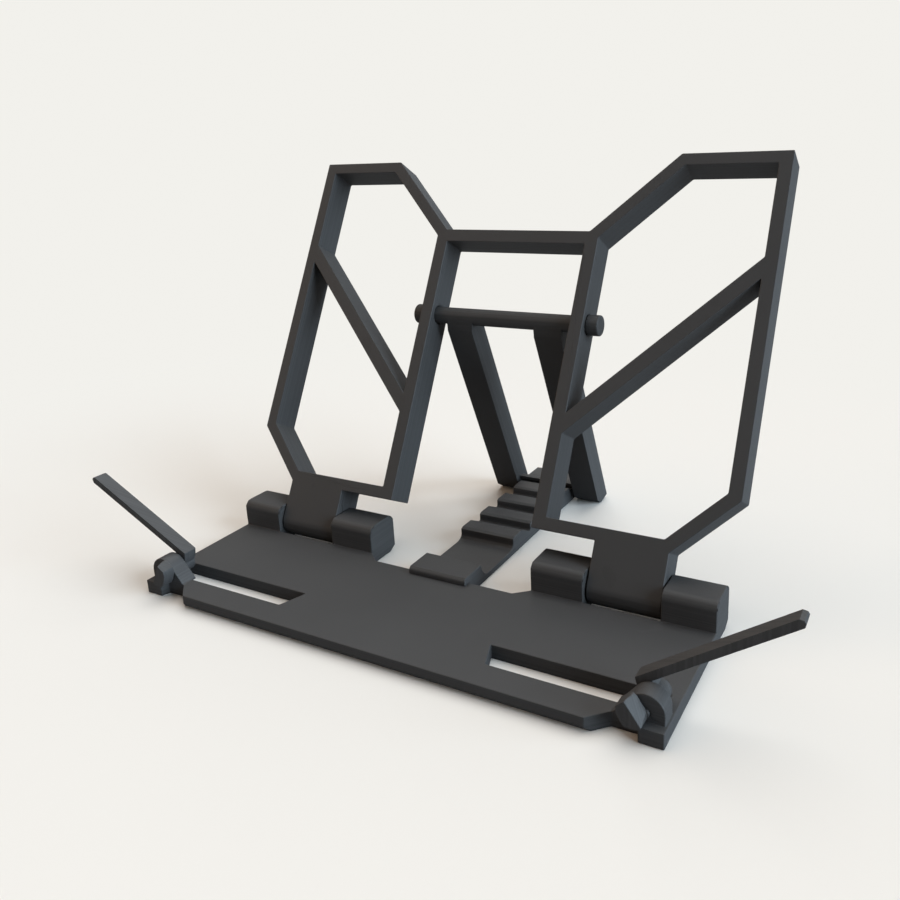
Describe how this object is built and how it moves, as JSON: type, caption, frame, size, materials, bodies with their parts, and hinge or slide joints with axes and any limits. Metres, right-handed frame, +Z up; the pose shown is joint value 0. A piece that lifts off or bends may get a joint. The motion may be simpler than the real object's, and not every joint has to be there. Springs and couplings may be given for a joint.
{
  "type": "folding bookstand",
  "caption": "Folding desk bookstand: base plate with hinged open back frame, swinging prop on a ratchet rack, and two pivoting page holders.",
  "frame": {"origin": "centre of the base plate's underside, on the table", "axes": "+X to the right of someone reading, +Y back towards the prop, +Z up from the table"},
  "size_m": [0.263, 0.1583, 0.1474],
  "materials": {
    "charcoal_print": "matte",
    "steel_pin": "satin"
  },
  "bodies": {
    "base": {"base_plate": "charcoal_print", "ratchet_rack": "charcoal_print", "hinge_pin_left": "steel_pin", "hinge_pin_right": "steel_pin", "holder_pin_left": "charcoal_print", "holder_pin_right": "charcoal_print"},
    "frame": {"back_frame": "charcoal_print"},
    "prop": {"prop_leg": "charcoal_print", "axle_cap_left": "charcoal_print", "axle_cap_right": "charcoal_print"},
    "holder_left": {"page_holder_left": "charcoal_print"},
    "holder_right": {"page_holder_right": "charcoal_print"}
  },
  "joints": [
    {"name": "frame_fold", "type": "hinge", "parent": "base", "child": "frame", "pos_m": [0, 0.03485, 0.0078], "axis": [1, 0, 0], "range_deg": [0, 48]},
    {"name": "prop_swing", "type": "hinge", "parent": "frame", "child": "prop", "pos_m": [0, 0.07893, 0.08798], "axis": [1, 0, 0], "range_deg": [-53, 0]},
    {"name": "holder_left_swing", "type": "hinge", "parent": "base", "child": "holder_left", "pos_m": [-0.092, 0, 0.0078], "axis": [0, 1, 0], "range_deg": [-27.4, 152.6]},
    {"name": "holder_right_swing", "type": "hinge", "parent": "base", "child": "holder_right", "pos_m": [0.092, 0, 0.0078], "axis": [0, -1, 0], "range_deg": [-34.6, 145.4]}
  ],
  "couplings": [
    {"joint": "prop_swing", "follows": "frame_fold", "ratio": -1.1}
  ]
}
